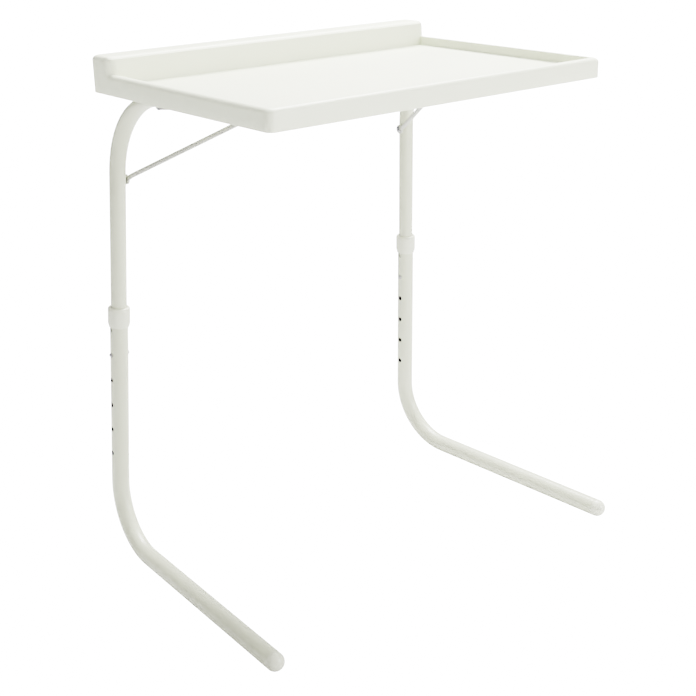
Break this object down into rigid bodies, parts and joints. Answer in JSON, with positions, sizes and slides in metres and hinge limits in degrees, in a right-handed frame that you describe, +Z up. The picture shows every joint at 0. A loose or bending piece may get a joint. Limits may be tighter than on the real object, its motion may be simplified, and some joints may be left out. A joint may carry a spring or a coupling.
{
  "type": "folding tray table",
  "caption": "Folding C-frame tray table: a shallow rimmed tray with a tall back ledge on two telescoping bent-tube legs, with a tilt bail and sprung height buttons.",
  "frame": {"origin": "on the floor, midway between the legs and midway between the toes and the heels", "axes": "+Z up, +X to the right for somebody facing the open front, -Y towards the toes of the feet"},
  "size_m": [0.6346, 0.4341, 0.7125],
  "materials": {
    "tray_plastic": "moulded white plastic with a fine satin texture",
    "fitting_plastic": "smooth off-white plastic",
    "hidden_plastic": "plain off-white plastic",
    "powder_coat": "satin off-white powder coat on steel tube",
    "bail_coat": "satin off-white powder coat on steel rod",
    "zinc_plate": "bright zinc plate",
    "spring_steel": "oiled spring steel"
  },
  "bodies": {
    "tray": {"tray_top": "tray_plastic", "left_hinge_bracket": "zinc_plate", "left_hinge_pin": "zinc_plate", "left_notch_rack": "hidden_plastic", "left_bracket_screw_front": "zinc_plate", "left_bracket_screw_rear": "zinc_plate", "left_rack_screw_front": "zinc_plate", "left_rack_screw_rear": "zinc_plate", "right_hinge_bracket": "zinc_plate", "right_hinge_pin": "zinc_plate", "right_notch_rack": "hidden_plastic", "right_bracket_screw_front": "zinc_plate", "right_bracket_screw_rear": "zinc_plate", "right_rack_screw_front": "zinc_plate", "right_rack_screw_rear": "zinc_plate"},
    "left_upper_leg": {"left_upper_tube": "powder_coat", "left_hinge_knuckle": "hidden_plastic", "left_snap_spring": "spring_steel", "left_bail_rivet": "zinc_plate"},
    "left_lower_leg": {"left_lower_tube": "powder_coat", "left_collar": "fitting_plastic", "left_foot_cap": "fitting_plastic"},
    "left_outer_button": {"left_outer_button": "zinc_plate"},
    "left_inner_button": {"left_inner_button": "zinc_plate"},
    "right_upper_leg": {"right_upper_tube": "powder_coat", "right_hinge_knuckle": "hidden_plastic", "right_snap_spring": "spring_steel", "right_bail_rivet": "zinc_plate"},
    "right_lower_leg": {"right_lower_tube": "powder_coat", "right_collar": "fitting_plastic", "right_foot_cap": "fitting_plastic"},
    "right_outer_button": {"right_outer_button": "zinc_plate"},
    "right_inner_button": {"right_inner_button": "zinc_plate"},
    "tilt_bail": {"tilt_bail": "bail_coat"}
  },
  "joints": [
    {"name": "left_leg_fold", "type": "hinge", "parent": "tray", "child": "left_upper_leg", "pos_m": [-0.2525, 0.04591, 0.66664], "axis": [-1, 0, 0], "range_deg": [0, 86.1]},
    {"name": "left_height", "type": "slide", "parent": "left_upper_leg", "child": "left_lower_leg", "axis": [-0.0464, 0.0618, -0.997], "range_m": [-0.1524, 0.0381], "deforming": ["left_outer_button", "left_inner_button"]},
    {"name": "left_outer_button_press", "type": "slide", "parent": "left_upper_leg", "child": "left_outer_button", "axis": [0.9974, -0.0523, -0.0496], "range_m": [0, 0.0045], "stiffness_N_per_m": 1200, "deforming": ["left_snap_spring"]},
    {"name": "left_inner_button_press", "type": "slide", "parent": "left_upper_leg", "child": "left_inner_button", "axis": [-0.9974, 0.0523, 0.0496], "range_m": [0, 0.0045], "stiffness_N_per_m": 1200, "deforming": ["left_snap_spring"]},
    {"name": "right_leg_fold", "type": "hinge", "parent": "tray", "child": "right_upper_leg", "pos_m": [0.2525, 0.04591, 0.66664], "axis": [-1, 0, 0], "range_deg": [0, 86.1]},
    {"name": "right_height", "type": "slide", "parent": "right_upper_leg", "child": "right_lower_leg", "axis": [0.0464, 0.0618, -0.997], "range_m": [-0.1524, 0.0381], "deforming": ["right_outer_button", "right_inner_button"]},
    {"name": "right_outer_button_press", "type": "slide", "parent": "right_upper_leg", "child": "right_outer_button", "axis": [-0.9974, -0.0523, -0.0496], "range_m": [0, 0.0045], "stiffness_N_per_m": 1200, "deforming": ["right_snap_spring"]},
    {"name": "right_inner_button_press", "type": "slide", "parent": "right_upper_leg", "child": "right_inner_button", "axis": [0.9974, 0.0523, 0.0496], "range_m": [0, 0.0045], "stiffness_N_per_m": 1200, "deforming": ["right_snap_spring"]},
    {"name": "tilt_bail_swing", "type": "hinge", "parent": "left_upper_leg", "child": "tilt_bail", "pos_m": [0, 0.17679, 0.54764], "axis": [1, 0, 0], "range_deg": [0, 121.6]}
  ],
  "couplings": [
    {"joint": "right_leg_fold", "follows": "left_leg_fold", "ratio": 1},
    {"joint": "tilt_bail_swing", "follows": "left_leg_fold", "ratio": 1.41}
  ]
}
